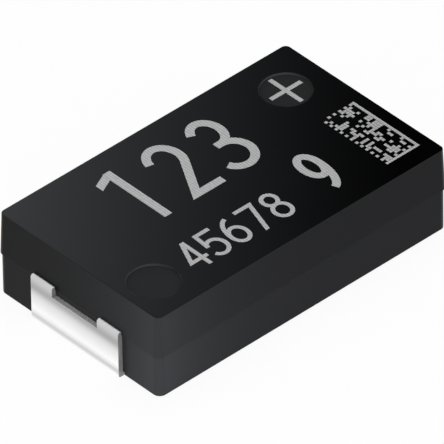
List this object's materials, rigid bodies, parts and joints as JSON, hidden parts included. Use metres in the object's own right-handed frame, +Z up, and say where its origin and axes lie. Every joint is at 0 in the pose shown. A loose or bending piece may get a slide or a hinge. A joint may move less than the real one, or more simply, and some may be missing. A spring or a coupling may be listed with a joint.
{
  "type": "polymer chip capacitor",
  "caption": "Surface-mount capacitor: a low black moulded box with a folded metal terminal at each end that wraps under it as a solder foot.",
  "frame": {"origin": "centre of the footprint on the plane of the circuit board", "axes": "+X along the length towards the anode, the end with the plus sign; +Y across the width; +Z up, out of the board"},
  "size_m": [0.0074, 0.0044, 0.0019],
  "materials": {
    "case_resin": "black moulded epoxy, fine mould grain",
    "tin_plate": "satin tin plate on copper-alloy strip",
    "sintered_tantalum": "porous sintered metal",
    "tantalum_wire": "drawn wire",
    "washer_white": "plain white fluoropolymer",
    "conductive_polymer": "blue-black dried film",
    "graphite": "dull graphite coat",
    "silver_paint": "matt flake silver paint",
    "silver_glue": "cured silver-filled glue"
  },
  "bodies": {
    "root": {"resin_case": "case_resin", "cathode_terminal": "tin_plate", "anode_terminal": "tin_plate", "anode_pellet": "sintered_tantalum", "anode_wire": "tantalum_wire", "wire_washer": "washer_white", "polymer_layer": "conductive_polymer", "carbon_layer": "graphite", "silver_layer": "silver_paint", "silver_adhesive": "silver_glue"}
  },
  "joints": []
}
